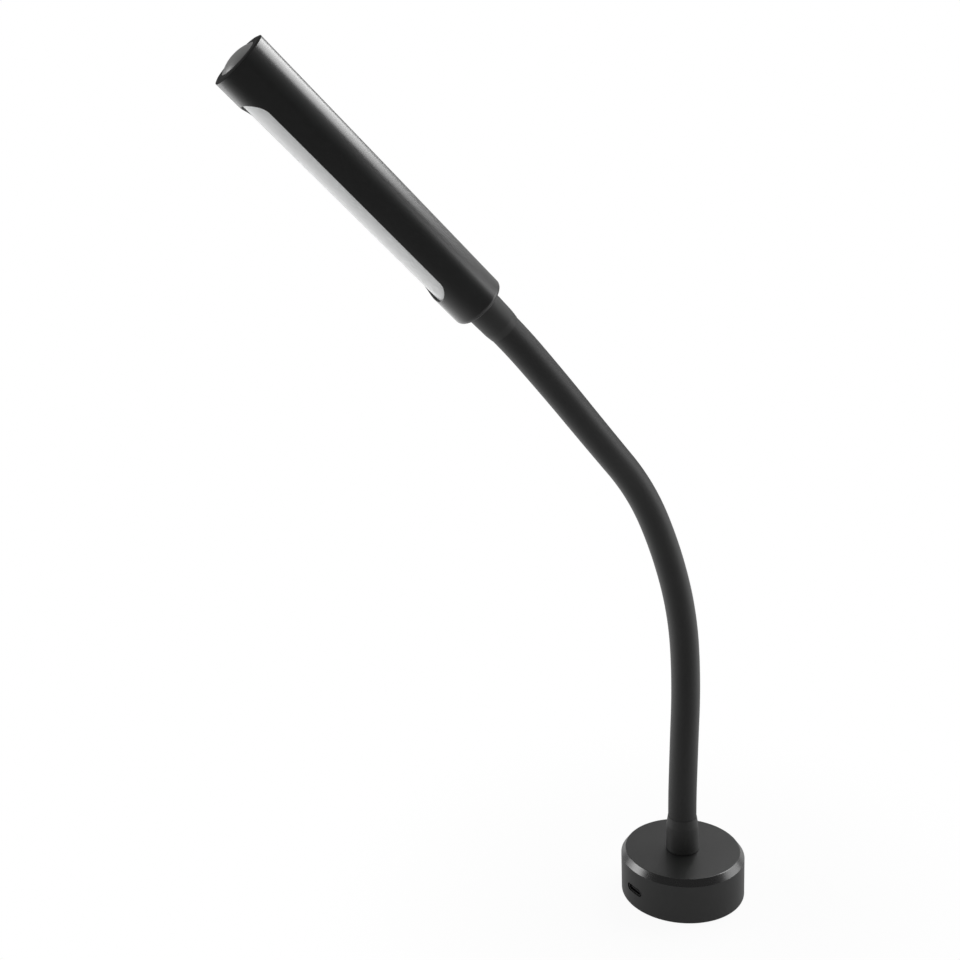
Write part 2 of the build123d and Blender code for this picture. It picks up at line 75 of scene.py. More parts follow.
import bpy
from mathutils import Quaternion, Vector

MM = 0.001


# %% [markdown]
# ## The camera
#
# A camera can be aimed with a constraint, with Euler angles or with a quaternion. Here it stands to
# the front left of the lamp, about level with the head, and looks slightly down. Its place, the
# direction of its view and a small roll are all that it needs, so a quaternion made from the
# view's direction is the shortest way.

# %% Camera
camera_place = Vector((-324.2, -394.7, 325.0)) * MM
camera_heading = 28.98                  # degrees from +Y towards +X
camera_pitch = -12.55                   # degrees above the level
camera_roll = -2.40                     # degrees
camera_lens = 42.16                     # millimetres, on a sensor 36 mm wide


def towards(heading, height):
    """The direction at a heading from +Y towards +X and a height above the level, in degrees."""
    heading, height = math.radians(heading), math.radians(height)
    return Vector((
        math.sin(heading) * math.cos(height),
        math.cos(heading) * math.cos(height),
        math.sin(height),
    ))


view_direction = towards(camera_heading, camera_pitch)
camera = bpy.data.objects.new("camera", bpy.data.cameras.new("camera"))
bpy.context.scene.collection.objects.link(camera)
camera.location = camera_place
camera.rotation_mode = "QUATERNION"
camera.rotation_quaternion = (
    view_direction.to_track_quat("-Z", "Y") @ Quaternion((0, 0, 1), math.radians(camera_roll))
)
camera.data.lens = camera_lens
camera.data.clip_start = 10 * MM
bpy.context.scene.camera = camera
print("camera looks along", [round(value, 3) for value in view_direction])

# %% [markdown]
# ## A shorthand for shader nodes
#
# A material can be wired by hand, but then a simple sum takes several lines, and shader maths reads
# best as maths. `Wire` wraps the output socket of a node, and Python's own operators on it add Math
# nodes. `Network` is a node tree under construction: its one method `node` adds any other node,
# sets the node's settings first and then links or fills its sockets. `Finish` is the network of
# one material.


# %% Wires
class Wire:
    """The output socket of a node, and arithmetic on its number that adds Math nodes."""

    def __init__(self, network, socket):
        self.network = network
        self.socket = socket

    def math(self, operation, *values):
        settings = {"operation": operation}
        return self.network.node("ShaderNodeMath", settings, dict(enumerate(values)))

    def __add__(self, other):
        return self.math("ADD", self, other)

    def __radd__(self, other):
        return self.math("ADD", other, self)

    def __sub__(self, other):
        return self.math("SUBTRACT", self, other)

    def __rsub__(self, other):
        return self.math("SUBTRACT", other, self)

    def __mul__(self, other):
        return self.math("MULTIPLY", self, other)

    def __rmul__(self, other):
        return self.math("MULTIPLY", other, self)


print("wires add, subtract and multiply")


# %% Node networks
class Network:
    """A node tree under construction, of a material or of the world."""

    def __init__(self, tree):
        self.tree = tree

    def plug(self, socket, value):
        """Links a wire to a socket, or writes a plain value on it."""
        if isinstance(value, Wire):
            self.tree.links.new(value.socket, socket)
        else:
            socket.default_value = value

    def node(self, kind, settings, inputs, output=0):
        """Adds a node: its settings first, then its sockets. Returns one output as a wire."""
        made = self.tree.nodes.new(kind)
        for name, value in settings.items():
            setattr(made, name, value)
        for key, value in inputs.items():
            self.plug(made.inputs[key], value)
        return Wire(self, made.outputs[output])

    def ramp(self, value, start, end, low=0.0, high=1.0):
        """Runs smoothly from low to high while value runs from start to end."""
        settings = {"interpolation_type": "SMOOTHSTEP"}
        inputs = {
            "Value": value, "From Min": start, "From Max": end, "To Min": low, "To Max": high
        }
        return self.node("ShaderNodeMapRange", settings, inputs)

    def vector_math(self, operation, *vectors, output="Vector"):
        """Maths on whole vectors."""
        settings = {"operation": operation}
        return self.node("ShaderNodeVectorMath", settings, dict(enumerate(vectors)), output)

    def along(self, vector, direction):
        """How far a vector reaches along a direction."""
        return self.vector_math("DOT_PRODUCT", vector, direction, output="Value")

    def reach(self, vector):
        """How long a vector is."""
        return self.vector_math("LENGTH", vector, output="Value")

    def ray(self, kind):
        """1 where a ray of this kind looks, and 0 elsewhere."""
        return self.node("ShaderNodeLightPath", {}, {}, f"Is {kind} Ray")


print("networks make nodes, ramps, vector maths and rays")

# %% Finishes
# A Mix node has its sockets once for every kind of value. These are the ones for colours.
MIX_FIRST, MIX_SECOND, MIX_RESULT = 6, 7, 2


class Finish(Network):
    """A material made of nodes around one Principled shader."""

    def __init__(self, name):
        self.material = bpy.data.materials.new(name)
        self.material.use_nodes = True
        super().__init__(self.material.node_tree)
        self.shader = self.tree.nodes["Principled BSDF"]

    def place(self):
        """Where a point of the surface is, in metres."""
        return self.node("ShaderNodeTexCoord", {}, {}, "Object")

    def stretch(self, vector, scale, turn=(0, 0, 0)):
        """The same place, turned and then counted in finer or coarser steps along each axis."""
        turned = self.node("ShaderNodeMapping", {}, {"Vector": vector, "Rotation": turn})
        return self.vector_math("MULTIPLY", turned, scale)

    def noise(self, vector, grain, detail=3.0, roughness=0.55):
        """Soft noise from 0 to 1 whose blotches are about one grain across."""
        inputs = {"Vector": vector, "Scale": 1 / grain, "Detail": detail, "Roughness": roughness}
        return self.node("ShaderNodeTexNoise", {}, inputs, "Fac")

    def between(self, share, first, second):
        """A colour that runs from the first to the second as share runs from 0 to 1."""
        first, second = (
            colour if isinstance(colour, Wire) else (*colour, 1) for colour in (first, second)
        )
        inputs = {"Factor": share, MIX_FIRST: first, MIX_SECOND: second}
        return self.node("ShaderNodeMix", {"data_type": "RGBA"}, inputs, MIX_RESULT)

    def relief(self, height, depth):
        """A bump whose hills are depth high where height is 1."""
        inputs = {"Height": height, "Strength": 1.0, "Distance": depth}
        return self.node("ShaderNodeBump", {}, inputs)

    def set(self, **values):
        """Writes or links the Principled shader's own sockets, named with underscores."""
        for name, value in values.items():
            self.plug(self.shader.inputs[name.replace("_", " ")], value)
        print("finish", self.material.name)
        return self


def grey(value):
    """A colour without a hue."""
    return (value, value, value)


finishes = {}       # the finish for each of the frame's material slots
print("shader kit ready")

# %% [markdown]
# ## The base: satin lacquer with a bright-cut edge
#
# Three blacks meet on this lamp, and only their gloss tells them apart. The base is lacquered
# metal, the head is anodised aluminium, and the neck and its two ferrules are covered in rubber.
# A black surface shows little of its own colour: almost all that is seen is what it mirrors, so
# the roughness, its small changes from spot to spot, and the fine relief do the work.
#
# The sloped edge of the base is cut bright after the lacquer and then darkened, so it mirrors far
# more than the faces beside it. It could have a material slot of its own, but it belongs to a
# piece of the frame, and those meshes stay as they are. So the finish tells the slope by its
# place: above the slope's foot and outside its inner rim.

# %% Satin lacquer
base_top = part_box("base_housing")[1].z
base_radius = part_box("base_housing")[1].y
slope_width = 2.2 * MM
slope_height = 3.0 * MM
slope_margin = 0.06 * MM        # over which one finish turns into the other


def satin_lacquer():
    finish = Finish("satin_lacquer")
    place = finish.place()
    cloud = finish.noise(place, 9 * MM)
    grain = finish.noise(place, 0.16 * MM, detail=2.0)
    radius = finish.reach(finish.vector_math("MULTIPLY", place, (1, 1, 0)))
    height = finish.along(place, (0, 0, 1))
    foot, rim = base_top - slope_height, base_radius - slope_width
    slope = (
        finish.ramp(height, foot, foot + slope_margin)
        * finish.ramp(radius, rim, rim + slope_margin)
    )
    lacquer = finish.between(cloud, (0.0135, 0.0140, 0.0136), (0.0190, 0.0196, 0.0190))
    return finish.set(
        Base_Color=finish.between(slope, lacquer, grey(0.13)),
        Metallic=slope,
        Roughness=0.25 + 0.06 * cloud + 0.05 * grain - 0.03 * slope,
        Specular_IOR_Level=0.86,
        Coat_Weight=0.2 * (1 - slope),
        Coat_Roughness=0.20,
        Normal=finish.relief(grain, 0.004 * MM),
    )


finishes["base_black"] = satin_lacquer()
print("base", round(2 * base_radius / MM, 1), "mm across,", round(base_top / MM, 1), "mm high")

# %% [markdown]
# ## The head's direction
#
# The button presses into the head along the head's axis, so its joint tells where the head points.
# An angle could be written down here instead, but what is read from the frame can't drift away
# from it. The head's finish needs the direction, and so does the line of the neck.

# %% Head direction
joints = {joint["name"]: joint for joint in frame["joints"]}
head_direction = -Vector(joints["switch_press"]["axis"]).normalized()
head_heading = math.atan2(-head_direction.x, head_direction.z)
along_head = (0, head_heading, 0)       # turns the head's axis upright
tube_points = frame["nodes"]["head_tube"].data.vertices
head_root = min(point.co.dot(head_direction) for point in tube_points)
print("head leans", round(math.degrees(head_heading), 1), "degrees from upright")

# %% [markdown]
# ## The head: black anodised aluminium
#
# The head is a drawn tube. Drawing leaves faint lines along it, and the anodised skin keeps them
# and adds a dry grain of its own. A picture of such lines could be wrapped around the tube. Noise
# that is stretched along the head's axis is simpler: it has no seam and no end. The rounded end at
# the neck is matt, and the polish starts just beyond it.

# %% Anodised aluminium
matt_depth = 0.4 * MM           # from the tube's end, where the polish starts
polish_depth = 1.8 * MM         # and where it is full


def black_anodising():
    finish = Finish("head_anodising")
    place = finish.place()
    drawn = finish.stretch(place, (1.0, 1.0, 0.02), along_head)
    lines = finish.noise(drawn, 0.10 * MM, detail=2.0)
    cloud = finish.noise(place, 14 * MM)
    grain = finish.noise(place, 0.12 * MM, detail=1.0)
    depth = finish.along(place, head_direction)
    polished = finish.ramp(depth, head_root + matt_depth, head_root + polish_depth)
    return finish.set(
        Base_Color=finish.between(cloud, (0.0068, 0.0070, 0.0070), (0.0102, 0.0105, 0.0104)),
        Roughness=0.30 + 0.05 * cloud + 0.04 * lines + 0.45 * (1 - polished),
        Specular_IOR_Level=0.50,
        Coat_Weight=polished,
        Coat_Roughness=0.26,
        Sheen_Weight=0.30,
        Sheen_Roughness=0.30,
        Normal=finish.relief(0.7 * lines + 0.3 * grain, 0.0035 * MM),
    )


finishes["head_black"] = black_anodising()

# %% [markdown]
# ## The neck and its ferrules: rubber
#
# Rubber is dull and black right through, under a fine skin. Its highlight is broad and soft, which
# a high roughness gives, and the grain breaks it up. A strong sheen would be another way to that
# softness, but it turns black rubber into velvet, so there is only a breath of it. The ferrules
# are a little paler than the sleeve.


# %% Rubber
def soft_rubber(name, dark, light):
    finish = Finish(name)
    place = finish.place()
    cloud = finish.noise(place, 12 * MM)
    grain = finish.noise(place, 0.22 * MM)
    return finish.set(
        Base_Color=finish.between(cloud, dark, light),
        Roughness=0.44 + 0.06 * cloud + 0.08 * grain,
        Specular_IOR_Level=0.72,
        Sheen_Weight=0.05,
        Sheen_Roughness=0.5,
        Normal=finish.relief(grain, 0.006 * MM),
    )


finishes["ferrule_black"] = soft_rubber(
    "ferrule_rubber", (0.0180, 0.0185, 0.0180), (0.0250, 0.0257, 0.0250)
)
finishes["sleeve_rubber"] = soft_rubber(
    "neck_rubber", (0.0110, 0.0114, 0.0110), (0.0165, 0.0170, 0.0165)
)

# %% [markdown]
# ## Moulded plastics
#
# The ring at the tip, the tongue in the inlet, the foot pad, the connectors, the electronic parts
# and the lead's sheath all come out of moulds, and the wall of a mould has a fine, even texture
# that the part keeps. Each could have a material of its own, but only colour, gloss and the size
# of that texture differ, so one function makes them all.


# %% Plastics
def moulded_plastic(name, dark, light, roughness, specular=0.5, texture=0.20 * MM):
    """Plastic with a faint mottle and the spark-eroded texture of its mould."""
    finish = Finish(name)
    place = finish.place()
    cloud = finish.noise(place, 5 * MM)
    grain = finish.noise(place, texture, detail=2.0)
    return finish.set(
        Base_Color=finish.between(cloud, dark, light),
        Roughness=roughness + 0.08 * grain,
        Specular_IOR_Level=specular,
        Normal=finish.relief(grain, 0.005 * MM),
    )


finishes["ring_black"] = moulded_plastic(
    "matt_ring", grey(0.010), grey(0.015), roughness=0.60, specular=0.25, texture=0.25 * MM
)
finishes["pad_rubber"] = moulded_plastic(
    "foot_rubber", grey(0.012), grey(0.020), roughness=0.72, specular=0.30, texture=0.45 * MM
)
finishes["inlet_plastic"] = moulded_plastic(
    "tongue_plastic", grey(0.010), grey(0.016), roughness=0.45
)
finishes["component_black"] = moulded_plastic(
    "component_plastic", (0.015, 0.015, 0.016), (0.028, 0.028, 0.030), roughness=0.40
)
finishes["connector_white"] = moulded_plastic(
    "connector_plastic", (0.66, 0.64, 0.58), (0.74, 0.72, 0.66), roughness=0.38
)
finishes["led_yellow"] = moulded_plastic(
    "led_phosphor", (0.78, 0.52, 0.06), (0.86, 0.66, 0.14), roughness=0.22
)
finishes["lead_sheath"] = moulded_plastic(
    "sheath_plastic", grey(0.012), grey(0.018), roughness=0.50
)

# %% [markdown]
# ## The diffuser
#
# The diffuser is a milky acrylic shell. Light enters it, scatters and leaves again somewhere else,
# so it never looks hard white. A volume inside the mesh would show that truly but slowly. The
# shader's own subsurface scattering gives the same depth at once. A faint cloud in its colour and
# a very fine grain keep it from looking like paint.


# %% Milky acrylic
def milky_acrylic():
    finish = Finish("milky_acrylic")
    place = finish.place()
    cloud = finish.noise(place, 6 * MM)
    grain = finish.noise(place, 0.15 * MM, detail=1.0)
    return finish.set(
        Base_Color=finish.between(cloud, (0.80, 0.81, 0.81), (0.86, 0.87, 0.87)),
        Roughness=0.26 + 0.06 * grain,
        Specular_IOR_Level=0.5,
        Coat_Weight=0.6,
        Coat_Roughness=0.12,
        Subsurface_Weight=0.35,
        Subsurface_Radius=(1.0, 1.0, 1.0),
        Subsurface_Scale=1.2 * MM,
        Normal=finish.relief(grain, 0.002 * MM),
    )


finishes["diffuser_clear"] = milky_acrylic()

# %% [markdown]
# ## Bare metals
#
# The screws, nuts and washers are zinc plated, the ballast is cast iron, the hose is wound from
# steel wire, the button is turned, and the bar that the light board lies on is extruded aluminium.
# Each of them is a mirror colour, a roughness, and streaks or pits at the right scale, so one
# function covers them all.


# %% Metals
def bare_metal(name, dark, light, roughness, blotch, streaks=(1, 1, 1), turn=(0, 0, 0), pits=0.0):
    """Metal in blotches of a size, with streaks along the axis that has the smallest number."""
    finish = Finish(name)
    place = finish.place()
    cloud = finish.noise(place, blotch)
    streak = finish.noise(finish.stretch(place, streaks, turn), 0.12 * MM, detail=2.0)
    pit = finish.noise(place, 0.8 * MM, detail=5.0, roughness=0.7)
    return finish.set(
        Base_Color=finish.between(cloud, dark, light),
        Metallic=1.0,
        Roughness=roughness + 0.10 * cloud + 0.06 * streak,
        Normal=finish.relief(streak + pits * pit, 0.004 * MM),
    )


finishes["ballast_iron"] = bare_metal(
    "cast_iron", grey(0.10), (0.16, 0.155, 0.15), roughness=0.50, blotch=4 * MM, pits=2.0
)
finishes["plate_steel"] = bare_metal(
    "plate_zinc", (0.42, 0.43, 0.45), (0.52, 0.53, 0.54), roughness=0.26, blotch=6 * MM,
    streaks=(1, 0.03, 1),
)
finishes["screw_steel"] = bare_metal(
    "screw_zinc", (0.45, 0.46, 0.48), (0.60, 0.60, 0.61), roughness=0.22, blotch=2 * MM
)
finishes["inlet_steel"] = bare_metal(
    "inlet_shell_steel", grey(0.11), grey(0.15), roughness=0.32, blotch=1 * MM
)
finishes["carrier_aluminium"] = bare_metal(
    "extruded_aluminium", (0.66, 0.67, 0.68), (0.76, 0.76, 0.77), roughness=0.30, blotch=8 * MM,
    streaks=(1, 1, 0.02), turn=along_head,
)
finishes["button_grey"] = bare_metal(
    "button_metal", grey(0.42), (0.50, 0.50, 0.495), roughness=0.24, blotch=3 * MM
)
finishes["coil_steel"] = bare_metal(
    "spring_wire", grey(0.30), (0.42, 0.41, 0.40), roughness=0.30, blotch=3 * MM
)

# %% [markdown]
# ## Circuit boards
#
# A board is glass fibre under a coat of solder mask, and its copper shows through as slightly
# paler, slightly raised lines. Tracks could be modelled one by one, but their copper is thinner
# than a hair. A brick pattern with unequal bricks makes a fair set of them: its mortar is the gap
# between two areas of copper.


# %% Boards
def circuit_board(name, mask, copper, turn=(0, 0, 0)):
    finish = Finish(name)
    place = finish.stretch(finish.place(), (1, 1, 1), turn)
    settings = {"offset": 0.37, "squash": 1.6, "squash_frequency": 3}
    inputs = {
        "Vector": place,
        "Scale": 1.0,
        "Mortar Size": 0.12 * MM,
        "Mortar Smooth": 0.3,
        "Brick Width": 3.1 * MM,
        "Row Height": 0.9 * MM,
    }
    gap = finish.node("ShaderNodeTexBrick", settings, inputs, "Fac")
    weave = finish.noise(place, 0.5 * MM)
    return finish.set(
        Base_Color=finish.between(1 - gap, mask, copper),
        Roughness=0.28 + 0.15 * weave,
        Specular_IOR_Level=0.5,
        Normal=finish.relief(0.6 * (1 - gap) + 0.4 * weave, 0.01 * MM),
    )


finishes["board_green"] = circuit_board(
    "power_board", (0.008, 0.075, 0.022), (0.015, 0.130, 0.040)
)
finishes["light_board_white"] = circuit_board(
    "light_board", (0.78, 0.79, 0.78), (0.84, 0.85, 0.84), along_head
)

# %% [markdown]
# ## Finishes on the pieces
#
# Every piece of the frame names a material slot, and the finishes above are kept by the slots'
# names. The pieces could be dressed one by one, but a loop over all of them leaves none out.


# %% Dressing the frame
def dress(piece, slot):
    """Gives a piece the finish of a material slot."""
    piece.data.materials.clear()
    piece.data.materials.append(finishes[slot].material)


for subpart in frame["record"]["subparts"]:
    dress(frame["nodes"][subpart["node"]], subpart["material_slot"])

# %% [markdown]
# ## The line of the neck
#
# The neck follows one smooth line: a chain of arcs from one bending point to the next, with a
# straight stretch inside each ferrule. A spline through the bending points would come close to it,
# but arcs are what the frame's own sections are, so they fit without a gap. An arc that leaves a
# point along a known heading and ends at another point turns by twice the angle between its
# heading and its chord, so the headings follow from the points one after another.

# %% Arcs
NEARLY_STRAIGHT = 1e-9      # half a turn, in radians, below which an arc counts as straight


def leaning(heading):
    """The direction that leans from upright towards -X by this angle."""
    return Vector((-math.sin(heading), 0, math.cos(heading)))


def chord_share(turn):
    """The chord of an arc that turns by this angle, as a share of the arc's length."""
    half = abs(turn / 2)
    return math.sin(half) / half if half > NEARLY_STRAIGHT else 1.0


class Arc:
    """An even bend, or a straight run, from a point along a heading, in the XZ plane."""

    def __init__(self, start, heading, length, turn):
        self.start, self.heading, self.length, self.turn = start, heading, length, turn

    def at(self, distance):
        """Point and heading at this distance from the arc's start."""
        turn = self.turn * (distance / self.length)
        chord = leaning(self.heading + turn / 2) * (distance * chord_share(turn))
        return self.start + chord, self.heading + turn

    def end(self):
        """Point and heading at the arc's end."""
        return self.at(self.length)


def arc_between(start, heading, end):
    """The arc that leaves start along its heading and ends at the point end."""
    chord = end - start
    turn = 2 * (math.atan2(-chord.x, chord.z) - heading)
    return Arc(start, heading, chord.length / chord_share(turn), turn)


print("a quarter turn's chord is", round(chord_share(math.radians(90)), 3), "of its arc")

# %% The neck as a chain of arcs
hinges = [joint for joint in frame["joints"] if joint["type"] == "hinge"]
lower_mouth = Vector((0, 0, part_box("lower_ferrule")[1].z))
pocket_depth = lower_mouth.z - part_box("neck_sleeve_0")[0].z     # how deep a ferrule holds the neck
pocket_floor = lower_mouth - Vector((0, 0, pocket_depth))

neck_arcs = [Arc(pocket_floor, 0.0, pocket_depth, 0.0)]
point, heading = lower_mouth, 0.0
for joint in hinges:
    neck_arcs.append(arc_between(point, heading, Vector(joint["pos_m"])))
    point, heading = neck_arcs[-1].end()
section_length = neck_arcs[-1].length
neck_arcs.append(Arc(point, heading, section_length / 2, head_heading - heading))
upper_mouth = neck_arcs[-1].end()[0]
neck_arcs.append(Arc(upper_mouth, head_heading, pocket_depth, 0.0))
print("neck", round(sum(arc.length for arc in neck_arcs) / MM, 1), "mm long, section",
      round(section_length / MM, 2), "mm")

# %% [markdown]
# A place on the neck is then just a length along it. The bending points lie where the arcs meet,
# and the middle of each section is half way between two of them.


# %% Lengths along the neck
class Line:
    """A chain of arcs that is read by length."""

    def __init__(self, arcs):
        self.arcs = arcs
        self.length = sum(arc.length for arc in arcs)

    def at(self, distance):
        """Point and heading at this distance from the line's start."""
        for arc in self.arcs[:-1]:
            if distance <= arc.length:
                return arc.at(distance)
            distance -= arc.length
        return self.arcs[-1].at(distance)


neck_line = Line(neck_arcs)
hinge_lengths = []
for arcs_before in range(2, len(hinges) + 2):       # the pocket and the first arc, and so on
    hinge_lengths.append(Line(neck_arcs[:arcs_before]).length)
middles = [length + section_length / 2 for length in hinge_lengths[:-1]]
print("bending points at", [round(length / MM, 1) for length in hinge_lengths], "mm")

# %% [markdown]
# ## Bending pieces
#
# The frame's sections of the neck are rigid, and each layer of the neck is rebuilt here as eight
# pieces, cut at the middle of each section. A piece spans one bending point, where two bodies meet.
# At the cuts both neighbours lie on the same line with the same slope, so no seam opens between
# them.
#
# Each piece is a grid of rings around the line. A curve with a round bevel would be shorter to
# write, but a ring's radius may depend on the place along the neck and on the angle around it,
# which is enough for a plain sleeve, a wound hose or a twisted lead. An inner wall and two end
# faces close a tube, because a real one has a thickness, and a solid lead gets two flat caps.


# %% Tubes along a line
def tube_mesh(name, line, lengths, around, outer, inner=None):
    """A closed mesh around a line. Outer and inner give a radius from a length and an angle."""
    across = Vector((0, 1, 0))
    angles = [math.tau * step / around for step in range(around)]
    last_row = len(lengths) - 1
    points, faces = [], []

    def join(first, second, flip):
        """Faces between two rings that start at these points."""
        for step in range(around):
            after = (step + 1) % around
            face = [first + step, first + after, second + after, second + step]
            faces.append(face[::-1] if flip else face)

    def cap(first, length, flip):
        """Faces from the ring that starts at this point to the middle of the line there."""
        points.append(line.at(length)[0])
        for step in range(around):
            face = [first + step, first + (step + 1) % around, len(points) - 1]
            faces.append(face[::-1] if flip else face)

    def wall(radius, flip):
        """Rings at all the lengths, joined. Returns where its two end rings start."""
        first = len(points)
        for length in lengths:
            centre, lean = line.at(length)
            inward = Vector((-math.cos(lean), 0, -math.sin(lean)))
            for angle in angles:
                away = across * math.cos(angle) + inward * math.sin(angle)
                points.append(centre + away * radius(length, angle))
        for row in range(last_row):
            join(first + row * around, first + (row + 1) * around, flip)
        return first, first + last_row * around

    outer_first, outer_last = wall(outer, False)
    if inner:
        inner_first, inner_last = wall(inner, True)
        join(inner_first, outer_first, False)
        join(inner_last, outer_last, True)
    else:
        cap(outer_first, lengths[0], True)
        cap(outer_last, lengths[-1], False)
    mesh = bpy.data.meshes.new(name)
    mesh.from_pydata([tuple(point) for point in points], [], faces)
    mesh.shade_smooth()
    return mesh


def even_steps(start, end, step):
    """Lengths from start to end, about one step apart."""
    count = max(2, round((end - start) / step))
    return [start + (end - start) * number / count for number in range(count + 1)]


smooth_step = 1.2 * MM      # fine enough for a layer with no winding
print("a section has", len(even_steps(0.0, section_length, smooth_step)), "rings")

# %% Cutting a layer into bending pieces
sharp_angle = math.radians(40)      # an edge that bends more than this stays sharp
chain = [hinges[0]["parent"]] + [joint["child"] for joint in hinges]


def bending_layer(name, line, shift, step, around, outer, inner, slot, nodes):
    """One layer of the neck, in rings a step apart, with this many points around.

    Shift is how much of the line comes before the neck's own start. Outer and inner are the two
    walls' radii. Slot is the finish, and nodes is the name of the frame's sections of this layer.
    """
    total = 0
    for number, joint in enumerate(hinges):
        first, last = number == 0, number == len(hinges) - 1
        start = 0.0 if first else middles[number - 1] + shift
        end = line.length if last else middles[number] + shift
        piece_name = f"{name}_{number + 1}"
        mesh = tube_mesh(piece_name, line, even_steps(start, end, step), around, outer, inner)
        mesh.set_sharp_from_angle(angle=sharp_angle)
        piece = bpy.data.objects.new(piece_name, mesh)
        bpy.context.scene.collection.objects.link(piece)
        dress(piece, slot)
        bend_start = pocket_depth if first else middles[number - 1]
        bend_end = neck_line.length - pocket_depth if last else middles[number]
        chain[number + 1]
        neck_line.at(bend_start)[0]
        neck_line.at(bend_end)[0]
        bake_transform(piece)
        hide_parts(f"{nodes}_{number}", f"{nodes}_{number + 1}")
        total += len(mesh.polygons)
    print(name, "faces", total)


print("the neck hangs on", " ".join(chain))

# %% [markdown]
# ## The sleeve
#
# The sleeve is a smooth rubber tube, shrunk over the metal hose. Its two radii could be typed in,
# but they come from the frame, so that it lies exactly where the rigid sections were.


# %% Sleeve
def radius_of(node):
    """The radius of a round piece whose line lies in the XZ plane."""
    low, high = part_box(node)
    return (high.y - low.y) / 2


sleeve_radius = radius_of("neck_sleeve_0")
coil_radius = radius_of("neck_coil_0")
clearance = 0.02 * MM       # between two parts that touch
sleeve_bore = coil_radius + clearance

bending_layer(
    "sleeve", neck_line, shift=0.0, step=smooth_step, around=64,
    outer=lambda length, angle: sleeve_radius,
    inner=lambda length, angle: sleeve_bore,
    slot="sleeve_rubber", nodes="neck_sleeve",
)

# %% [markdown]
# ## The wound hose
#
# Under the sleeve is the gooseneck itself: round spring wire, wound close, with a second wire
# wedged between its turns. The friction between them is what holds the lamp's pose. A round wire
# could be swept along a helix, but then its turns would have to be cut at every piece. As a wall
# whose surface is a screw it stays one grid: the radius depends on the angle and the length
# together, and one turn around is the same as one pitch along.

# %% Wound hose
coil_bore = 4.45 * MM
wire_pitch = 2.4 * MM
wire_relief = 0.5 * MM          # how far the outside sinks between two turns
bore_share = 0.6                # how much of that the inside does
rings_per_turn = 8


def winding(length, angle):
    """From 0 between two turns of wire to 1 on top of a turn."""
    phase = (length / wire_pitch - angle / math.tau) % 1.0
    return math.sqrt(max(0.0, 1 - (2 * phase - 1) ** 2))


def wire_outside(length, angle):
    return coil_radius - wire_relief * (1 - winding(length, angle))


def wire_inside(length, angle):
    return coil_bore + bore_share * wire_relief * (1 - winding(length, angle))


bending_layer(
    "hose", neck_line, shift=0.0, step=wire_pitch / rings_per_turn, around=32,
    outer=wire_outside, inner=wire_inside, slot="coil_steel", nodes="neck_coil",
)

# %% [markdown]
# ## The lead
#
# Two cores run inside the hose, twisted together under one thin sheath, from the connector on the
# power board to the one on the light board. The lead leaves its connector level, turns upright
# under the ferrule and then follows the neck. It could be a curve of its own, but it has to bend
# with the neck, so it is made like the other two layers, on a line that starts a little earlier
# and ends a little later.

# %% Line of the lead
lead_radius = radius_of("lead_0")
plug_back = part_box("lead_connector")[1].x + clearance
stud_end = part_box("lower_ferrule")[0].z
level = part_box("lead_0")[0].z + lead_radius     # height of the run from the connector
bend_radius = stud_end - level
quarter = math.radians(90)

before_neck = [
    Arc(Vector((plug_back, 0, level)), -quarter, -bend_radius - plug_back, 0.0),
    Arc(Vector((-bend_radius, 0, level)), -quarter, bend_radius * quarter, quarter),
    Arc(Vector((0, 0, stud_end)), 0.0, pocket_floor.z - stud_end, 0.0),
]
lead_points = frame["nodes"]["lead_8"].data.vertices
lead_reach = max(point.co.dot(head_direction) for point in lead_points)
in_head = Arc(upper_mouth, head_heading, lead_reach - upper_mouth.dot(head_direction), 0.0)
lead_line = Line(before_neck + neck_arcs[:-1] + [in_head])
print("lead", round(lead_line.length / MM, 1), "mm long")

# %% Lead
core_twist = 18 * MM        # one full turn of the two cores
waist = 0.14 * MM           # how far the sheath sinks between them


def sheath(length, angle):
    """Two cores side by side, turning about each other along the lead."""
    return lead_radius - waist * (1 - math.cos(2 * (angle - math.tau * length / core_twist)))


bending_layer(
    "lead", lead_line, shift=Line(before_neck).length, step=smooth_step, around=20,
    outer=sheath, inner=None, slot="lead_sheath", nodes="lead",
)

# %% [markdown]
# ## Floor, world and lamps
#
# The lamp stands on a pale floor in a plain studio. A black, glossy thing is drawn by what it
# mirrors, so the studio is made for its reflections: two soft boxes on the right and two on the
# left draw the bright edges, the room is bright behind the lamp and dim in front of it, and the
# dim front keeps the middle of each black form deep. A picture of a studio could light the world
# instead, but a few ramps are easier to place. The floor and the world show themselves white to
# the camera through the Light Path node, which throws no extra light on the lamp.

# %% Where the room is bright
bright_side = (0.629, 0.777, 0.0)       # level, behind the lamp and a little to the right
room_dim = 0.11                         # what glossy rays find in front
floor_bright = 1.0                      # on the floor behind, where 1 is white
wall_bright = 0.28                      # and on the wall behind
print("bright side", bright_side, "from", room_dim, "to", floor_bright)

# %% Floor
floor_half = 20.0                       # half its width, in metres
near_white = 0.94                       # white under the lamp: the rest keeps the shadow
white_run = (0.06, 0.20)                # metres from the middle of the base, up to full white
bright_run = (-0.35, 0.15)              # metres along the bright side, from dim to bright
beside_base = 0.35                      # share of that close to the base, which shades the floor
shade_run = (0.03, 0.20)                # and where that shade starts and ends
floor_far = 0.30                        # share far away, where the floor meets the wall
far_run = (1.8, 4.5)                    # and where it falls to that

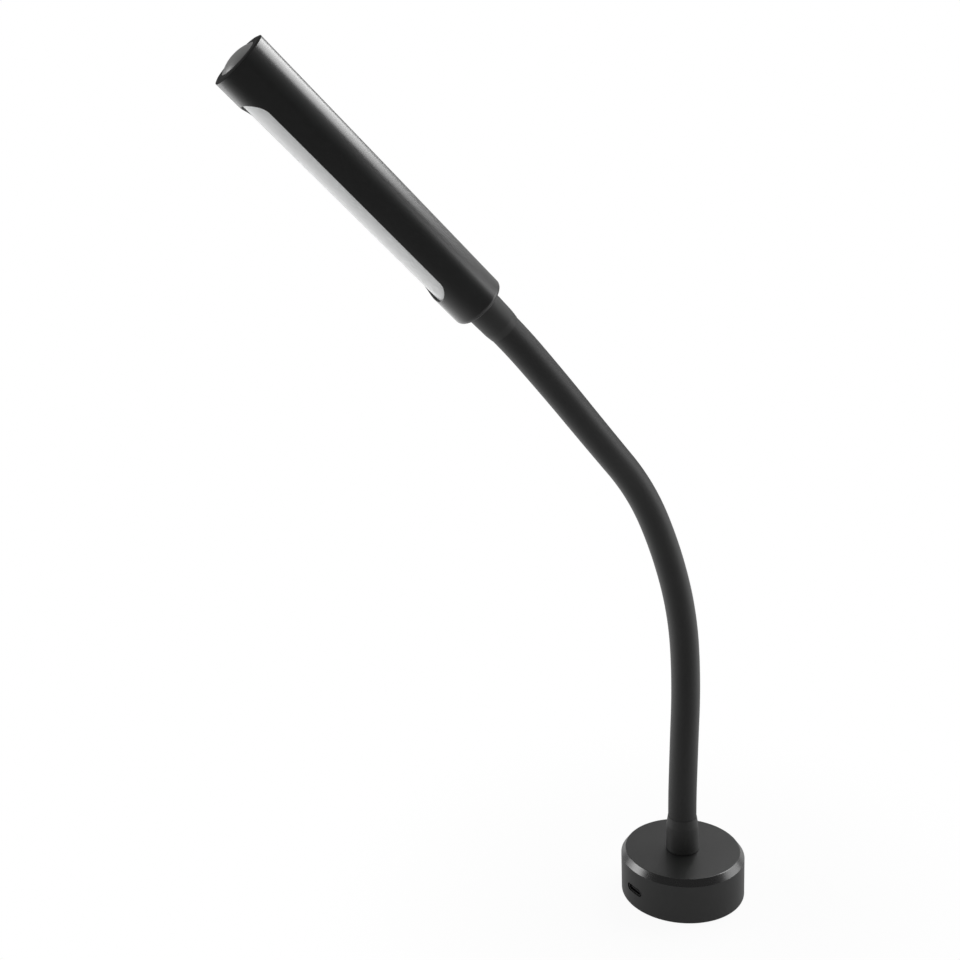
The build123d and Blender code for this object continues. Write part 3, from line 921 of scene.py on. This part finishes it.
floor_mesh = bpy.data.meshes.new("floor")
floor_mesh.from_pydata(
    [
        (-floor_half, -floor_half, 0), (floor_half, -floor_half, 0),
        (floor_half, floor_half, 0), (-floor_half, floor_half, 0),
    ],
    [],
    [(0, 1, 2, 3)],
)
floor = bpy.data.objects.new("floor", floor_mesh)
bpy.context.scene.collection.objects.link(floor)

floor_finish = Finish("pale_floor")
floor_finish.set(Base_Color=(0.92, 0.92, 0.92, 1), Roughness=0.9, Specular_IOR_Level=0.1)
spot = floor_finish.place()
distance = floor_finish.reach(spot)
white_share = floor_finish.ramp(distance, *white_run, near_white, 1.0)
mirrored = (
    floor_finish.ramp(floor_finish.along(spot, bright_side), *bright_run, room_dim, floor_bright)
    * floor_finish.ramp(distance, *shade_run, beside_base, 1.0)
    * floor_finish.ramp(distance, *far_run, 1.0, floor_far)
)
camera_ray = floor_finish.ray("Camera")
glossy_ray = floor_finish.ray("Glossy")
glow = {"Strength": camera_ray + glossy_ray * mirrored}
sockets = {
    "Fac": camera_ray * white_share + glossy_ray,
    1: Wire(floor_finish, floor_finish.shader.outputs["BSDF"]),
    2: floor_finish.node("ShaderNodeEmission", {}, glow),
}
surface = floor_finish.node("ShaderNodeMixShader", {}, sockets)
floor_finish.plug(floor_finish.tree.nodes["Material Output"].inputs["Surface"], surface)
floor_mesh.materials.append(floor_finish.material)
print("floor", 2 * floor_half, "m across,", len(floor_finish.tree.nodes), "nodes")

# %% World
world_light = 0.34          # what the surroundings add to the lamps
wall_run = (-0.4, 0.5)      # along the bright side, where 1 looks straight at it

world = bpy.data.worlds.new("studio")
bpy.context.scene.world = world
world.use_nodes = True
studio = Network(world.node_tree)
direction = studio.node("ShaderNodeTexCoord", {}, {}, "Generated")
wall = studio.ramp(studio.along(direction, bright_side), *wall_run, room_dim, wall_bright)
seen = studio.ray("Camera")
mirror = studio.ray("Glossy")
background = world.node_tree.nodes["Background"]
studio.plug(background.inputs["Color"], (1, 1, 1, 1))
studio.plug(
    background.inputs["Strength"],
    seen + (1 - seen) * (mirror * wall + (1 - mirror) * world_light),
)
print("world", len(world.node_tree.nodes), "nodes")

# %% Soft boxes
lamp_target = Vector((-0.06, 0, 0.20))


def soft_box(name, heading, height, distance, width, rise, radiance):
    """A flat lamp at a heading and height in degrees and a distance from the target in metres."""
    light = bpy.data.lights.new(name, "AREA")
    light.shape = "RECTANGLE"
    light.size = width
    light.size_y = rise
    light.energy = radiance * math.pi * width * rise
    lamp = bpy.data.objects.new(name, light)
    bpy.context.scene.collection.objects.link(lamp)
    away = towards(heading, height)
    lamp.location = lamp_target + away * distance
    lamp.rotation_mode = "QUATERNION"
    lamp.rotation_quaternion = (-away).to_track_quat("-Z", "Y")
    lamp.visible_camera = False
    print(name, round(light.energy, 1), "W at", [round(value, 2) for value in lamp.location])


soft_box(
    "right_box", heading=82.5, height=43.5, distance=4.0, width=3.80, rise=1.70, radiance=4.0
)
soft_box(
    "low_right_box", heading=115, height=10, distance=1.8, width=1.10, rise=0.80, radiance=1.9
)
soft_box(
    "left_box", heading=-48, height=20, distance=2.4, width=1.00, rise=1.00, radiance=2.2
)
soft_box(
    "standing_box", heading=-40, height=4, distance=0.75, width=0.48, rise=0.45, radiance=1.4
)

# %% [markdown]
# ## Colours as they are written
#
# A view transform can give a render the look of film, which bends its colours. The Standard one
# shows a colour as it is.

# %% View settings
import json

bpy.context.scene.view_settings.view_transform = "Standard"
